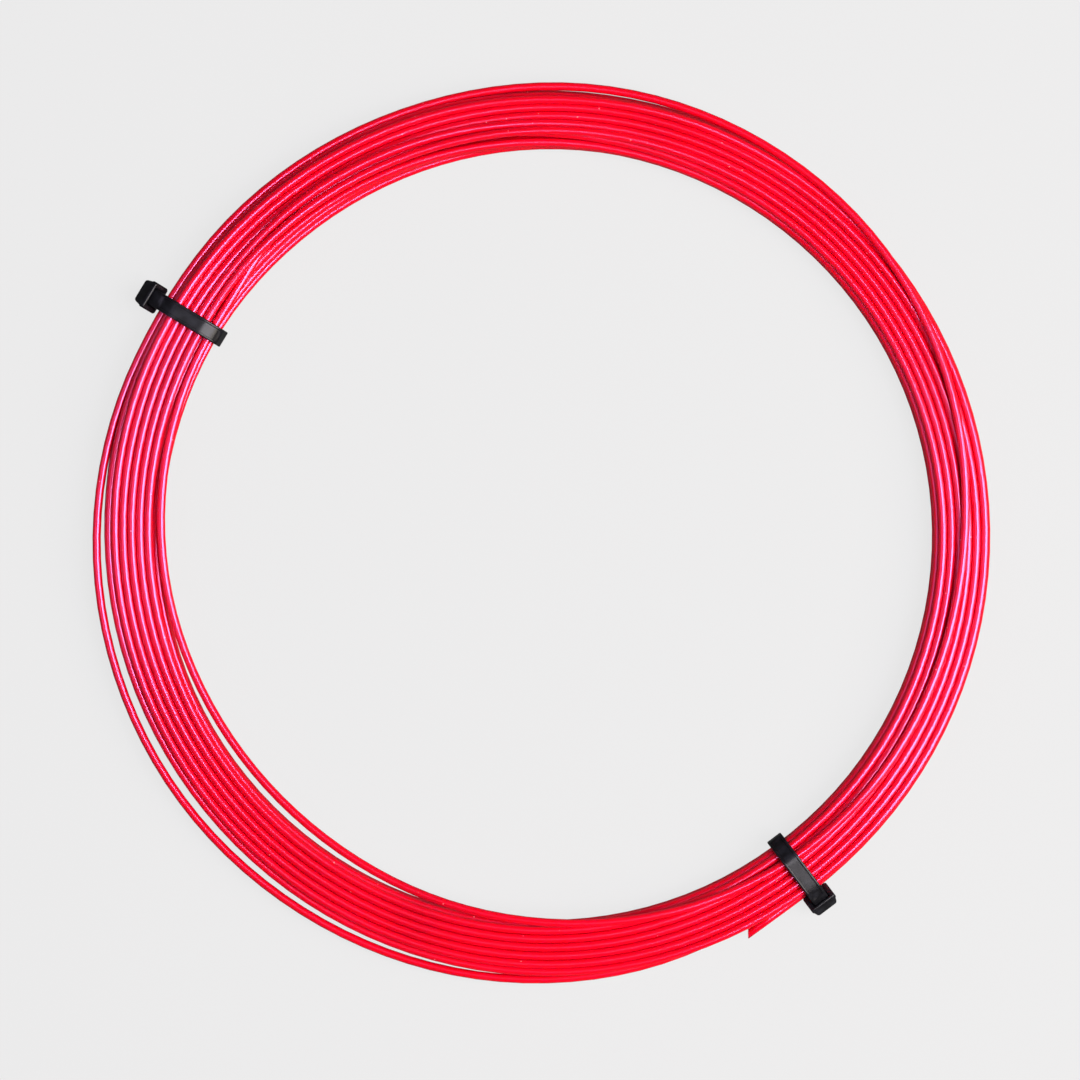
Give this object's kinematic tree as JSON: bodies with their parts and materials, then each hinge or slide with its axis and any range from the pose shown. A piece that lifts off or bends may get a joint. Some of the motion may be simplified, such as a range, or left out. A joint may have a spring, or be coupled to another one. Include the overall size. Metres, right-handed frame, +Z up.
{
  "type": "racket string coil",
  "caption": "Flat ring-shaped coil of bright red monofilament racket string, held by small black cable ties with ratchet heads.",
  "frame": {"origin": "centre of the coil, on the surface that it lies on", "axes": "+Z up through the ring, away from the surface; +X and +Y across the coil"},
  "size_m": [0.1326, 0.1321, 0.0088],
  "materials": {
    "string": "glossy drawn polyester monofilament",
    "tie": "satin moulded nylon",
    "pawl": "satin moulded nylon"
  },
  "bodies": {
    "coil": {"string_coil": "string"},
    "tie_a": {"tie_a_strap": "tie", "tie_a_head": "tie"},
    "tie_a_pawl": {"tie_a_pawl": "pawl"},
    "tie_b": {"tie_b_strap": "tie", "tie_b_head": "tie"},
    "tie_b_pawl": {"tie_b_pawl": "pawl"}
  },
  "joints": [
    {"name": "tie_a_slide", "type": "hinge", "parent": "coil", "child": "tie_a", "pos_m": [0.00056, -0.00026, 0.00439], "axis": [0, 0, 1], "range_deg": [-3, 3]},
    {"name": "tie_a_pawl_flex", "type": "hinge", "parent": "tie_a", "child": "tie_a_pawl", "pos_m": [-0.05772, 0.03482, 0.0047], "axis": [-0.5165, -0.8563, 0], "range_deg": [0, 8], "stiffness_Nm_per_rad": 0.0002},
    {"name": "tie_b_slide", "type": "hinge", "parent": "coil", "child": "tie_b", "pos_m": [0.00056, -0.00026, 0.00439], "axis": [0, 0, 1], "range_deg": [-3, 3]},
    {"name": "tie_b_pawl_flex", "type": "hinge", "parent": "tie_b", "child": "tie_b_pawl", "pos_m": [0.04104, -0.05426, 0.00289], "axis": [0.7976, 0.6032, 0], "range_deg": [0, 8], "stiffness_Nm_per_rad": 0.0002}
  ]
}
